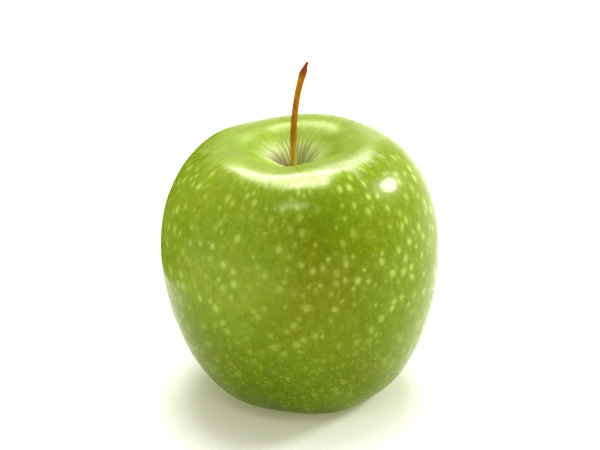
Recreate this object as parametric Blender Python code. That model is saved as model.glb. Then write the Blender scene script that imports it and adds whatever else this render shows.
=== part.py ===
"""A fresh green apple, as picked: the fruit, its stem and the dried calyx under it.

Run it with: blender --background --python part.py
Metres, +Z up. The origin is under the middle of the fruit, in the plane it stands on.
The fruit is one solid. The stem stands in the cavity on top. Five dried sepals and a
tuft of dried stamens sit in the basin underneath, clear of that plane.
"""

import math

import bmesh
import bpy
from mathutils import Matrix, Vector

# The fruit, before it leans. Heights are above the plane it stands on.
FRUIT_RADIUS = 0.0375
SHOULDER_HEIGHT = 0.0707
WIDEST_HEIGHT = 0.0401
SHOULDER_RADIUS = 0.0188
BASE_RADIUS = 0.0180
UPPER_FULLNESS = 0.555
LOWER_FULLNESS = 0.488

# The cavity that holds the stem, a gentle bowl round a steep throat, and the calyx basin.
BOWL_HANDLE = 0.0050
LIP_RADIUS = 0.0074
LIP_DROP = 0.0034
LIP_SLOPE = math.radians(27)
LIP_BOWL_HANDLE = 0.0034
LIP_THROAT_HANDLE = 0.0021
CAVITY_DEPTH = 0.0120
CAVITY_FLOOR_RADIUS = 0.0018
THROAT_HANDLE = 0.0045
THROAT_FLARE = 0.0006
BASIN_DEPTH = 0.0070
BASIN_LIP_HANDLE = 0.0060
BASIN_FLOOR_HANDLE = 0.0060
BASIN_FLOOR_RADIUS = 0.0044
FLOOR_DISH = 0.0005

# Five faint lobes run down the fruit. They are strongest around the two ends.
LOBES = 5
LOBE_ANGLE = math.radians(-72)
SHOULDER_GROOVE = 0.0005
LIP_GROOVE = 0.0004
LIP_GROOVE_RADIUS = 0.0100
LIP_GROOVE_REACH = 0.0045
BASE_GROOVE = 0.0005
RIB_SHARE = 0.006
OVAL_SHARE = 0.006
OVAL_ANGLE = math.radians(35)
SETTLED_FLAT = 0.0003
LEAN = math.radians(-2.45)

FRUIT_SIDES = 60
FLOOR_RINGS = 2
THROAT_RINGS = 8
BOWL_RINGS = 6
SHOULDER_RINGS = 10
FLANK_RINGS = 14
BASIN_RINGS = 10

# The stem: places up its middle line, and its radius at shares of its length.
CLEARANCE = 0.0003
STEM_RADIUS = 0.00080
STEM_LOWER = Vector((-0.0027, 0.0004, 0.0700))
STEM_UPPER = Vector((-0.0015, 0.0010, 0.0830))
STEM_NECK = Vector((0.0008, 0.0006, 0.0900))
STEM_TIP = Vector((0.0020, 0.0003, 0.0932))
NECK_SHARE = 0.90
STEM_STATIONS = 14
STEM_SIDES = 12
KNOB_RADIUS = 0.00118
STUB_RADIUS = 0.00060

# The calyx: five leaves round a tuft, hanging from the basin's floor.
SEPALS = 5
SEPAL_ROOT_RADIUS = 0.0038
SEPAL_WAIST_RADIUS = 0.0031
SEPAL_TIP_RADIUS = 0.0068
SEPAL_WAIST_DROP = 0.0024
SEPAL_TIP_DROP = 0.0044
SEPAL_HALF_WIDTH = 0.00200
SEPAL_HALF_THICKNESS = 0.00022
SEPAL_STATIONS = 7
SEPAL_SIDES = 8
TUFT_RADIUS = 0.0019
TUFT_DROP = 0.0036
TUFT_FLUTES = 6
TUFT_STATIONS = 6
TUFT_SIDES = 24

# Colour, roughness and metallic value of each material.
SKIN = ("apple_skin", (0.235, 0.330, 0.020), 0.28)
STEM_BARK = ("stem_bark", (0.290, 0.110, 0.025), 0.60)
DRIED_SEPAL = ("dried_sepal", (0.120, 0.085, 0.045), 0.85)
DRIED_TUFT = ("dried_tuft", (0.060, 0.035, 0.020), 0.90)


def clear_scene():
    """Removes every object that the file opened with."""
    for obj in list(bpy.data.objects):
        bpy.data.objects.remove(obj, do_unlink=True)


def make_material(finish):
    name, colour, roughness = finish
    material = bpy.data.materials.new(name)
    material.use_nodes = True
    shader = material.node_tree.nodes["Principled BSDF"]
    shader.inputs["Base Color"].default_value = (*colour, 1.0)
    shader.inputs["Roughness"].default_value = roughness
    shader.inputs["Metallic"].default_value = 0.0
    return material


def add_object(name, bm, material):
    """Turns a closed bmesh into a smooth-shaded object with outward faces."""
    bmesh.ops.recalc_face_normals(bm, faces=bm.faces)
    mesh = bpy.data.meshes.new(name)
    bm.to_mesh(mesh)
    bm.free()
    mesh.shade_smooth()
    mesh.materials.append(material)
    obj = bpy.data.objects.new(name, mesh)
    bpy.context.scene.collection.objects.link(obj)
    return obj


def smooth_step(value):
    value = min(1.0, max(0.0, value))
    return value * value * (3.0 - 2.0 * value)


def bezier(ends_and_handles, share):
    """The point at a share, from 0 to 1, of a cubic curve with four given points."""
    start, leave, arrive, end = ends_and_handles
    rest = 1.0 - share
    return (
        start * rest**3
        + leave * (3.0 * rest**2 * share)
        + arrive * (3.0 * rest * share**2)
        + end * share**3
    )


def outline_point(radius, height):
    return Vector((radius, 0.0, height))


def fruit_outline():
    """Half of the fruit's section, from the cavity's floor over the shoulder to the basin's floor."""
    cavity_floor = SHOULDER_HEIGHT - CAVITY_DEPTH
    lip = outline_point(LIP_RADIUS, SHOULDER_HEIGHT - LIP_DROP)
    outward = outline_point(math.cos(LIP_SLOPE), math.sin(LIP_SLOPE))
    throat = [
        outline_point(CAVITY_FLOOR_RADIUS, cavity_floor),
        outline_point(CAVITY_FLOOR_RADIUS + THROAT_FLARE, cavity_floor + THROAT_HANDLE),
        lip - outward * LIP_THROAT_HANDLE,
        lip,
    ]
    bowl = [
        lip,
        lip + outward * LIP_BOWL_HANDLE,
        outline_point(SHOULDER_RADIUS - BOWL_HANDLE, SHOULDER_HEIGHT),
        outline_point(SHOULDER_RADIUS, SHOULDER_HEIGHT),
    ]
    across = FRUIT_RADIUS - SHOULDER_RADIUS
    up = SHOULDER_HEIGHT - WIDEST_HEIGHT
    shoulder = [
        bowl[-1],
        outline_point(SHOULDER_RADIUS + UPPER_FULLNESS * across, SHOULDER_HEIGHT),
        outline_point(FRUIT_RADIUS, WIDEST_HEIGHT + UPPER_FULLNESS * up),
        outline_point(FRUIT_RADIUS, WIDEST_HEIGHT),
    ]
    across = FRUIT_RADIUS - BASE_RADIUS
    flank = [
        shoulder[-1],
        outline_point(FRUIT_RADIUS, WIDEST_HEIGHT * (1.0 - LOWER_FULLNESS)),
        outline_point(BASE_RADIUS + LOWER_FULLNESS * across, 0.0),
        outline_point(BASE_RADIUS, 0.0),
    ]
    basin = [
        flank[-1],
        outline_point(BASE_RADIUS - BASIN_LIP_HANDLE, 0.0),
        outline_point(BASIN_FLOOR_RADIUS + BASIN_FLOOR_HANDLE, BASIN_DEPTH),
        outline_point(BASIN_FLOOR_RADIUS, BASIN_DEPTH),
    ]
    points = floor_points(CAVITY_FLOOR_RADIUS, cavity_floor, -FLOOR_DISH)
    for curve, rings in (
        (throat, THROAT_RINGS),
        (bowl, BOWL_RINGS),
        (shoulder, SHOULDER_RINGS),
        (flank, FLANK_RINGS),
        (basin, BASIN_RINGS),
    ):
        points += [bezier(curve, step / rings) for step in range(rings)]
    points.append(basin[-1])
    points += reversed(floor_points(BASIN_FLOOR_RADIUS, BASIN_DEPTH, FLOOR_DISH))
    return points


def floor_points(radius, height, dish):
    """Points from the fruit's axis out to a floor's edge, dished by a small step."""
    points = []
    for step in range(FLOOR_RINGS):
        share = step / FLOOR_RINGS
        points.append(outline_point(radius * share, height + dish * (1.0 - share**2)))
    return points


def lobed(point):
    """Moves a point of the turned fruit onto the five-lobed, slightly oval one."""
    radius = math.hypot(point.x, point.y)
    if radius < 1e-7:
        return point
    angle = math.atan2(point.y, point.x)
    groove = 0.5 - 0.5 * math.cos(LOBES * (angle - LOBE_ANGLE))
    near_top = smooth_step(2.0 * point.z / SHOULDER_HEIGHT - 1.0)
    near_base = smooth_step(1.0 - point.z / WIDEST_HEIGHT)
    top_share = near_top * min(1.0, radius / SHOULDER_RADIUS)
    base_share = near_base * min(1.0, (radius / BASE_RADIUS) ** 2)
    lip_share = near_top * math.exp(-(((radius - LIP_GROOVE_RADIUS) / LIP_GROOVE_REACH) ** 2))
    drop = BASE_GROOVE * base_share - SHOULDER_GROOVE * top_share - LIP_GROOVE * lip_share
    height = point.z + groove * drop
    widening = OVAL_SHARE * math.cos(2.0 * (angle - OVAL_ANGLE)) - RIB_SHARE * groove
    scale = 1.0 + widening * min(1.0, radius / BASE_RADIUS)
    return Vector((point.x * scale, point.y * scale, height))


def leaned(point):
    """Leans a point with the fruit, whose base stays level on the plane it stands on."""
    tilt = smooth_step(point.z / WIDEST_HEIGHT)
    across = point.x * math.cos(LEAN) + (point.z - SHOULDER_HEIGHT / 2) * math.sin(LEAN)
    up = point.z - point.x * math.sin(LEAN) * tilt
    return Vector((across, point.y, up))


def settled(point):
    """Presses the lowest crests of the base a little way into one flat plane."""
    sink = SETTLED_FLAT * smooth_step(1.0 - point.z / WIDEST_HEIGHT)
    return Vector((point.x, point.y, max(0.0, point.z - sink)))


def build_fruit():
    bm = bmesh.new()
    points = [bm.verts.new(point) for point in fruit_outline()]
    edges = [bm.edges.new(pair) for pair in zip(points, points[1:])]
    bmesh.ops.spin(
        bm,
        geom=points + edges,
        cent=(0, 0, 0),
        axis=(0, 0, 1),
        angle=math.tau,
        steps=FRUIT_SIDES,
        use_merge=True,
    )
    bmesh.ops.remove_doubles(bm, verts=bm.verts, dist=1e-6)
    for vert in bm.verts:
        vert.co = settled(leaned(lobed(vert.co)))
    return add_object("fruit", bm, make_material(SKIN))


def loft(stations, sides):
    """A closed skin over rings, each given as a matrix that places a unit circle."""
    bm = bmesh.new()
    loops = []
    for index, place in enumerate(stations):
        is_end = index in (0, len(stations) - 1)
        ring = bmesh.ops.create_circle(bm, cap_ends=is_end, segments=sides, radius=1.0, matrix=place)
        loops.append(list({edge for vert in ring["verts"] for edge in vert.link_edges}))
    for lower, upper in zip(loops, loops[1:]):
        bmesh.ops.bridge_loops(bm, edges=lower + upper)
    return bm


def ring_place(centre, along, width_axis, half_width, half_thickness):
    """The matrix of an elliptical ring that faces along a direction."""
    normal = along.normalized()
    wide = (width_axis - normal * width_axis.dot(normal)).normalized()
    thin = normal.cross(wide)
    turn = Matrix((wide * half_width, thin * half_thickness, normal)).transposed()
    return Matrix.Translation(centre) @ turn.to_4x4()


def stem_line(root, share):
    """The stem's middle line, a curve up to the neck and then a short straight stub."""
    if share <= NECK_SHARE:
        return bezier((root, STEM_LOWER, STEM_UPPER, STEM_NECK), share / NECK_SHARE)
    return STEM_NECK.lerp(STEM_TIP, (share - NECK_SHARE) / (1.0 - NECK_SHARE))


def stem_radius(share):
    """Thicker at the root, swollen where the stalk broke from the spur, then a thin stub."""
    root = 0.35 * STEM_RADIUS * math.exp(-share / 0.05)
    growth = 0.10 * STEM_RADIUS * share
    knob = (KNOB_RADIUS - STEM_RADIUS) * math.exp(-(((share - 0.89) / 0.035) ** 2))
    shank = STEM_RADIUS + root + growth + knob
    stub = smooth_step((share - 0.90) / 0.05)
    end = 1.0 - 0.45 * smooth_step((share - 0.95) / 0.05)
    return (shank * (1.0 - stub) + STUB_RADIUS * stub) * end


def build_stem(root):
    stations = []
    shares = [step / STEM_STATIONS for step in range(STEM_STATIONS - 1)]
    shares += [0.89, 0.92, 0.96, 1.0]
    for share in shares:
        ahead = stem_line(root, min(1.0, share + 0.01))
        behind = stem_line(root, max(0.0, share - 0.01))
        radius = stem_radius(share)
        across = Vector((0.0, 1.0, 0.0))
        stations.append(ring_place(stem_line(root, share), ahead - behind, across, radius, radius))
    return add_object("stem", loft(stations, STEM_SIDES), make_material(STEM_BARK))


def sepal_line(share):
    """Radius and height of a sepal's middle line, in toward the tuft and then out at the tip."""
    root = BASIN_DEPTH - CLEARANCE - SEPAL_HALF_THICKNESS
    curve = (
        outline_point(SEPAL_ROOT_RADIUS, root),
        outline_point(SEPAL_WAIST_RADIUS, root - 0.6 * SEPAL_WAIST_DROP),
        outline_point(SEPAL_WAIST_RADIUS, root - 1.6 * SEPAL_WAIST_DROP),
        outline_point(SEPAL_TIP_RADIUS, root - SEPAL_TIP_DROP),
    )
    return bezier(curve, share)


def build_sepal(number, material):
    stations = []
    for step in range(SEPAL_STATIONS + 1):
        share = step / SEPAL_STATIONS
        along = sepal_line(min(1.0, share + 0.02)) - sepal_line(max(0.0, share - 0.02))
        taper = 1.0 - 0.88 * share**1.6
        stations.append(
            ring_place(
                sepal_line(share),
                along,
                Vector((0.0, 1.0, 0.0)),
                SEPAL_HALF_WIDTH * taper,
                SEPAL_HALF_THICKNESS * (1.0 - 0.4 * share),
            )
        )
    bm = loft(stations, SEPAL_SIDES)
    turn = Matrix.Rotation(LOBE_ANGLE + math.tau * number / SEPALS, 3, "Z")
    for vert in bm.verts:
        vert.co = settled(leaned(turn @ vert.co))
    return add_object(f"sepal_{number + 1}", bm, material)


def build_tuft():
    """The dried stamens as one fluted plug that narrows to its end."""
    root = BASIN_DEPTH - CLEARANCE
    stations = []
    for step in range(TUFT_STATIONS + 1):
        share = step / TUFT_STATIONS
        radius = TUFT_RADIUS * (0.75 + 0.25 * math.sin(math.pi * share) - 0.2 * share)
        centre = Vector((0.0, 0.0, root - TUFT_DROP * share))
        stations.append(ring_place(centre, Vector((0, 0, -1)), Vector((1, 0, 0)), radius, radius))
    bm = loft(stations, TUFT_SIDES)
    for vert in bm.verts:
        angle = math.atan2(vert.co.y, vert.co.x)
        flute = 1.0 + 0.12 * math.cos(TUFT_FLUTES * angle)
        vert.co = settled(leaned(Vector((vert.co.x * flute, vert.co.y * flute, vert.co.z))))
    return add_object("calyx_tuft", bm, make_material(DRIED_TUFT))


def plan_middle(obj):
    """The middle of an object's bounding box, seen from above, at height zero."""
    xs = [vert.co.x for vert in obj.data.vertices]
    ys = [vert.co.y for vert in obj.data.vertices]
    return Vector(((min(xs) + max(xs)) / 2, (min(ys) + max(ys)) / 2, 0.0))


def main():
    clear_scene()
    fruit = build_fruit()
    sepal_material = make_material(DRIED_SEPAL)
    sepals = [build_sepal(number, sepal_material) for number in range(SEPALS)]
    middle = plan_middle(fruit)
    for obj in (fruit, *sepals, build_tuft()):
        obj.data.transform(Matrix.Translation(-middle))
    above_floor = Vector((0.0, 0.0, SHOULDER_HEIGHT - CAVITY_DEPTH + CLEARANCE))
    build_stem(leaned(above_floor) - middle)


main()
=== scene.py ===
"""The looks of a fresh green apple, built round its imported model.

The fruit is one turned skin with five faint lobes, fine folds in the cavity and puckers
round the calyx. A woody stem stands in the cavity, and five dried sepals and a tuft of
dried stamens sit in the basin underneath. Lengths are in metres and +Z is up. Every piece
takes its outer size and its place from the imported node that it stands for.
"""

import sys
import functools
import logging
import math
from collections.abc import Callable, Mapping, Sequence
from dataclasses import dataclass, field
from enum import Enum

import bmesh
import bpy
from mathutils import Matrix, Vector, noise


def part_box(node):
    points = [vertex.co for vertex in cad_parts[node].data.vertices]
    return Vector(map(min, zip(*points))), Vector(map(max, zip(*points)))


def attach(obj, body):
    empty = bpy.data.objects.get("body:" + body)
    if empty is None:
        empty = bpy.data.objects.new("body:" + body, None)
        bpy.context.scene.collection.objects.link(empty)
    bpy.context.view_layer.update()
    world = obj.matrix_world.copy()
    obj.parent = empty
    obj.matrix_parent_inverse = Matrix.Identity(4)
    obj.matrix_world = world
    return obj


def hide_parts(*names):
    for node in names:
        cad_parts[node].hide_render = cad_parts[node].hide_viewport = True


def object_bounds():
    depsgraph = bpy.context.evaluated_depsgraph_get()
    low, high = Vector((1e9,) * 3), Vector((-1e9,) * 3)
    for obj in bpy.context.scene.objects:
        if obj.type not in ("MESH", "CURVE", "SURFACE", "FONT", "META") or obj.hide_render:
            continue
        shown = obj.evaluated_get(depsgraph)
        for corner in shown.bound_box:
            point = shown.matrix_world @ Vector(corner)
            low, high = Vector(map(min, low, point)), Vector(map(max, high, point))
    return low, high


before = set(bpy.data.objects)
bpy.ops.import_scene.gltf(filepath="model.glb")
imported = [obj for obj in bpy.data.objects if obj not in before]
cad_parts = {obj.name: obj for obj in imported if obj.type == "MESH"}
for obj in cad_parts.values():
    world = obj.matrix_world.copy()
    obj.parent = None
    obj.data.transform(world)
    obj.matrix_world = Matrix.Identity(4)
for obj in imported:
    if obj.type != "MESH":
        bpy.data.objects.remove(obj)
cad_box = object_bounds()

LOG = logging.getLogger("apple")
BODY = "root"
GROWTH = "growth"
ALONG = "along"

BMesh = bmesh.types.BMesh
Socket = bpy.types.NodeSocket
Source = Socket | float | tuple[float, ...]
Inputs = Mapping[str | int, Source]
Colour = tuple[float, float, float]
Direction = tuple[float, float, float]
Span = tuple[float, ...]
Waves = tuple[tuple[int, float, float], ...]


# ---------------------------------------------------------------- shaping


def smooth_step(value: float) -> float:
    """Eases a value from 0 to 1, flat at both ends and clamped outside them."""
    value = min(1.0, max(0.0, value))
    return value * value * (3.0 - 2.0 * value)


def bell(value: float, middle: float, reach: float) -> float:
    """A smooth hump of height 1 that fades to nothing about two reaches from its middle."""
    return math.exp(-(((value - middle) / reach) ** 2))


def ripple(angle: float, waves: Waves) -> float:
    """Adds waves that close on themselves round a circle.

    Args:
        angle: The place round the circle, in radians.
        waves: The count round the circle, the height and the phase of each wave.

    Returns:
        The summed height.
    """
    return sum(height * math.cos(count * angle + phase) for count, height, phase in waves)


def bezier(points: Sequence[Vector], share: float) -> Vector:
    """Finds a point on a cubic curve.

    Args:
        points: The start, the two handles and the end.
        share: How far along the curve, from 0 to 1.

    Returns:
        The point at that share.
    """
    start, leave, arrive, end = points
    rest = 1.0 - share
    return (
        start * rest**3
        + leave * (3.0 * rest**2 * share)
        + arrive * (3.0 * rest * share**2)
        + end * share**3
    )


def ring_place(
    centre: Vector, along: Vector, wide_axis: Vector, half_width: float, half_depth: float
) -> Matrix:
    """Places a unit circle as an elliptical ring across a direction.

    Args:
        centre: The ring's middle.
        along: The direction that the ring faces.
        wide_axis: A direction near to the ring's width.
        half_width: Half its width.
        half_depth: Half its depth.

    Returns:
        The matrix that turns a unit circle into that ring.
    """
    normal = along.normalized()
    wide = (wide_axis - normal * wide_axis.dot(normal)).normalized()
    deep = normal.cross(wide)
    turn = Matrix((wide * half_width, deep * half_depth, normal)).transposed()
    return Matrix.Translation(centre) @ turn.to_4x4()


def loft(bm: BMesh, places: Sequence[Matrix], sides: int, reach: float, length: float) -> None:
    """Adds a closed skin over rings to a mesh, and notes where each point grew.

    Args:
        bm: The mesh to add to.
        places: The matrix of each ring, as a unit circle placed in space.
        sides: The number of points round a ring.
        reach: The radius at which the growth pattern is wrapped.
        length: The skin's length from the first ring to the last.
    """
    growth = bm.verts.layers.float_vector.get(GROWTH) or bm.verts.layers.float_vector.new(GROWTH)
    share_layer = bm.verts.layers.float.get(ALONG) or bm.verts.layers.float.new(ALONG)
    loops = []
    for index, place in enumerate(places):
        at_end = index in (0, len(places) - 1)
        ring = bmesh.ops.create_circle(bm, cap_ends=at_end, segments=sides, radius=1.0, matrix=place)
        share = index / (len(places) - 1)
        for number, vert in enumerate(ring["verts"]):
            angle = math.tau * number / sides
            vert[growth] = (reach * math.cos(angle), reach * math.sin(angle), share * length)
            vert[share_layer] = share
        loops.append(list({edge for vert in ring["verts"] for edge in vert.link_edges}))
    for lower, upper in zip(loops, loops[1:]):
        bmesh.ops.bridge_loops(bm, edges=lower + upper)


def stand_out(bm: BMesh, height_of: Callable[[Vector, float, Vector], float]) -> None:
    """Moves each point along its normal.

    Args:
        bm: The mesh, whose points know where they grew.
        height_of: Gives the height from a point's growth, its share along, and its place.
    """
    growth = bm.verts.layers.float_vector[GROWTH]
    along = bm.verts.layers.float[ALONG]
    bmesh.ops.recalc_face_normals(bm, faces=bm.faces)
    bm.normal_update()
    moves = [vert.normal * height_of(vert[growth], vert[along], vert.co) for vert in bm.verts]
    for vert, move in zip(bm.verts, moves):
        vert.co += move


def fit_into(bm: BMesh, node: str) -> None:
    """Fits a mesh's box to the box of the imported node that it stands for.

    Args:
        bm: The mesh to move and stretch.
        node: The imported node's name.
    """
    low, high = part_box(node)
    mine_low = Vector([min(vert.co[axis] for vert in bm.verts) for axis in range(3)])
    mine_high = Vector([max(vert.co[axis] for vert in bm.verts) for axis in range(3)])
    for vert in bm.verts:
        for axis in range(3):
            share = (vert.co[axis] - mine_low[axis]) / (mine_high[axis] - mine_low[axis])
            vert.co[axis] = low[axis] + share * (high[axis] - low[axis])


def finish_piece(
    name: str, bm: BMesh, material: bpy.types.Material, smoothing: int = 1
) -> bpy.types.Object:
    """Turns a closed mesh into a shown object at the origin.

    Args:
        name: The object's name.
        bm: The finished mesh, which is freed.
        material: What the piece is made of.
        smoothing: Levels of Subdivision Surface.

    Returns:
        The new object.
    """
    bmesh.ops.recalc_face_normals(bm, faces=bm.faces)
    mesh = bpy.data.meshes.new(name)
    bm.to_mesh(mesh)
    bm.free()
    mesh.shade_smooth()
    mesh.materials.append(material)
    obj = bpy.data.objects.new(name, mesh)
    bpy.context.scene.collection.objects.link(obj)
    if smoothing:
        surface = obj.modifiers.new("smooth surface", "SUBSURF")
        surface.levels = smoothing
        surface.render_levels = smoothing
    return obj


def mount_piece(piece: bpy.types.Object, node: str) -> None:
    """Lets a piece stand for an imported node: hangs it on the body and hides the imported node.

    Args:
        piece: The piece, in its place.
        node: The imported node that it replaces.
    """
    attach(piece, BODY)
    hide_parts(node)
    LOG.info("%s stands for %s: %d faces before smoothing", piece.name, node, len(piece.data.polygons))


# ---------------------------------------------------------------- drawing materials


class Place(Enum):
    """Where a pattern is fixed."""

    OBJECT = "Object"
    GROWTH = GROWTH


class Sketch:
    """A node tree that is being drawn, for a material, a world or a shader group."""

    def __init__(self, tree: bpy.types.NodeTree) -> None:
        """Starts with an empty tree."""
        self.tree = tree
        tree.nodes.clear()

    def feed(self, value: Source, socket: Socket) -> None:
        """Links a socket to a source, or sets it to a plain value.

        Args:
            value: The source, or the plain value.
            socket: The input that takes it.
        """
        if isinstance(value, Socket):
            self.tree.links.new(value, socket)
        else:
            socket.default_value = value

    def add(self, kind: str, inputs: Inputs | None = None, **settings: object) -> bpy.types.Node:
        """Adds a node.

        Args:
            kind: The node's type.
            inputs: What each named or numbered input is fed.
            **settings: The node's own properties.

        Returns:
            The node.
        """
        node = self.tree.nodes.new(kind)
        for name, value in settings.items():
            setattr(node, name, value)
        for key, value in (inputs or {}).items():
            self.feed(value, node.inputs[key])
        return node

    def place(self, kind: Place) -> Socket:
        """Gives the coordinates that a pattern is fixed to.

        Args:
            kind: The whole object, or the growing piece.

        Returns:
            The place, in metres.
        """
        if kind is Place.OBJECT:
            return self.add("ShaderNodeTexCoord").outputs["Object"]
        return self.add("ShaderNodeAttribute", attribute_name=kind.value).outputs["Vector"]

    def along(self) -> Socket:
        """Gives the share along the piece, 0 where it starts to grow and 1 at its far end."""
        return self.add("ShaderNodeAttribute", attribute_name=ALONG).outputs["Fac"]

    def maths(self, operation: str, *operands: Source) -> Socket:
        """Applies an operation to one, two or three values."""
        return self.add("ShaderNodeMath", dict(enumerate(operands)), operation=operation).outputs["Value"]

    def times(self, *factors: Source) -> Socket:
        """Multiplies values."""
        return functools.reduce(functools.partial(self.maths, "MULTIPLY"), factors)

    def plus(self, base: Source, value: Source, share: Source) -> Socket:
        """Adds a share of one value to another."""
        return self.maths("MULTIPLY_ADD", value, share, base)

    def vector(self, operation: str, *operands: Source, scale: Source | None = None) -> Socket:
        """Applies an operation to one or two places, directions or colours.

        Args:
            operation: What is done.
            *operands: What it is done to, in order.
            scale: The factor, for the one operation that takes it.

        Returns:
            The resulting vector.
        """
        inputs: dict[str | int, Source] = dict(enumerate(operands))
        if scale is not None:
            inputs["Scale"] = scale
        return self.add("ShaderNodeVectorMath", inputs, operation=operation).outputs["Vector"]

    def facing(self, direction: Source, axis: Direction) -> Socket:
        """Gives how far a direction points along an axis, from -1 to 1."""
        inputs = {0: direction, 1: axis}
        return self.add("ShaderNodeVectorMath", inputs, operation="DOT_PRODUCT").outputs["Value"]

    def noise(self, vector: Source, scale: Source, detail: float = 3.0, roughness: Source = 0.5) -> Socket:
        """Gives soft noise from 0 to 1.

        Args:
            vector: The place.
            scale: Features in a metre.
            detail: How many finer layers are added.
            roughness: How strong the finer layers are.

        Returns:
            The noise's value.
        """
        inputs = {"Vector": vector, "Scale": scale, "Detail": detail, "Roughness": roughness}
        return self.add("ShaderNodeTexNoise", inputs).outputs["Fac"]

    def remap(
        self, value: Source, low: Source, high: Source, to_low: float = 0.0, to_high: float = 1.0
    ) -> Socket:
        """Eases a value from one range into another, clamped at both ends."""
        inputs = {"Value": value, "From Min": low, "From Max": high, "To Min": to_low, "To Max": to_high}
        return self.add("ShaderNodeMapRange", inputs, interpolation_type="SMOOTHSTEP").outputs["Result"]

    def blend(self, share: Source, under: Source, over: Source) -> Socket:
        """Puts one colour over another.

        Args:
            share: How much of the upper colour shows.
            under: The lower colour.
            over: The upper colour.

        Returns:
            The combined colour.
        """
        node = self.add("ShaderNodeMix", data_type="RGBA")
        self.feed(share, node.inputs["Factor"])
        for name, colour in (("A", under), ("B", over)):
            socket = next(s for s in node.inputs if s.name == name and s.type == "RGBA")
            self.feed(opaque(colour), socket)
        return next(s for s in node.outputs if s.type == "RGBA")

    def ramp(self, value: Source, stops: Sequence[tuple[float, Colour]]) -> Socket:
        """Turns a value into a colour.

        Args:
            value: The place on the ramp, from 0 to 1.
            stops: The place and colour of each stop, in order.

        Returns:
            The colour.
        """
        node = self.add("ShaderNodeValToRGB", {"Fac": value})
        elements = node.color_ramp.elements
        while len(elements) < len(stops):
            elements.new(1.0)
        for element, (position, colour) in zip(elements, stops):
            element.position = position
            element.color = opaque(colour)
        return node.outputs["Color"]

    def relief(self, height: Source, depth: float, under: Source | None = None) -> Socket:
        """Tilts the surface by a height from 0 to 1.

        Args:
            height: The height's share.
            depth: The full height, in metres.
            under: A relief that lies below this one.

        Returns:
            The normal.
        """
        inputs: dict[str | int, Source] = {"Height": height, "Distance": depth, "Strength": 1.0}
        if under is not None:
            inputs["Normal"] = under
        return self.add("ShaderNodeBump", inputs).outputs["Normal"]

    def use(self, group: bpy.types.NodeTree, inputs: Inputs) -> bpy.types.Node:
        """Places a shader group with this material's own values.

        Args:
            group: The group.
            inputs: What each of its inputs is fed.

        Returns:
            The placed group.
        """
        node = self.tree.nodes.new("ShaderNodeGroup")
        node.node_tree = group
        for key, value in inputs.items():
            self.feed(value, node.inputs[key])
        return node

    def streaks(self, vector: Source, streaks: Source, rate_along: Source, roughness: Source) -> Socket:
        """Places the group for growth streaks.

        Args:
            vector: The place on the growing piece.
            streaks: Streaks in a metre, across the growth.
            rate_along: The pattern's rate along the growth, against across.
            roughness: How strong the finer streaks are.

        Returns:
            The streaks, from 0 to 1.
        """
        inputs = {"Vector": vector, "Streaks": streaks, "Rate along": rate_along, "Roughness": roughness}
        return self.use(growth_streaks(), inputs).outputs["Streak"]

    def dots(self, vector: Source, cells: float, size: float, softness: float) -> bpy.types.Node:
        """Places the group for scattered dots.

        Args:
            vector: The place.
            cells: Cells in a metre, with a dot in each.
            size: The dot's radius, as a share of a cell.
            softness: The share of the dot that fades.

        Returns:
            The placed group, which gives Dot and Halo.
        """
        inputs = {"Vector": vector, "Cells": cells, "Size": size, "Softness": softness}
        return self.use(scattered_dots(), inputs)

    def fibres(self, growth: Source, rates: Span, light: Colour, dark: Colour) -> tuple[Socket, Socket]:
        """Places the group for dry plant fibre.

        Args:
            growth: The place on the growing piece.
            rates: Fibres in a metre, their rate along the growth, and blotches in a metre.
            light: The crests' colour.
            dark: The grain's colour.

        Returns:
            The fibre's colour and its height.
        """
        inputs = dict(zip(("Fibres", "Rate along", "Blotches"), rates))
        inputs |= {"Vector": growth, "Light": opaque(light), "Dark": opaque(dark)}
        placed = self.use(dried_fibre(), inputs)
        return placed.outputs["Colour"], placed.outputs["Height"]

    def surface(self, inputs: Inputs) -> None:
        """Ends a material with its shader."""
        shader = self.add("ShaderNodeBsdfPrincipled", inputs)
        self.add("ShaderNodeOutputMaterial", {"Surface": shader.outputs["BSDF"]})


def opaque(colour: Source) -> Source:
    """Gives a plain colour the fourth number that a colour socket holds."""
    return (*colour, 1.0) if isinstance(colour, tuple) and len(colour) == 3 else colour


def new_material(name: str) -> tuple[bpy.types.Material, Sketch]:
    """Makes an empty material and the sketch to draw it with."""
    material = bpy.data.materials.new(name)
    material.use_nodes = True
    return material, Sketch(material.node_tree)


@dataclass(frozen=True)
class Pin:
    """An input or output of a shader group."""

    name: str
    kind: str = "NodeSocketFloat"


def new_group(
    name: str, inlets: Sequence[Pin], outlets: Sequence[Pin]
) -> tuple[Sketch, Mapping[str, Socket], bpy.types.Node]:
    """Starts a shader group.

    Args:
        name: The group's name.
        inlets: Its inputs.
        outlets: Its outputs.

    Returns:
        The sketch to draw it with, what its inputs bring, and its output node.
    """
    tree = bpy.data.node_groups.new(name, "ShaderNodeTree")
    for way, sockets in (("INPUT", inlets), ("OUTPUT", outlets)):
        for pin in sockets:
            tree.interface.new_socket(pin.name, in_out=way, socket_type=pin.kind)
    sketch = Sketch(tree)
    return sketch, sketch.add("NodeGroupInput").outputs, sketch.add("NodeGroupOutput")


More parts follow.
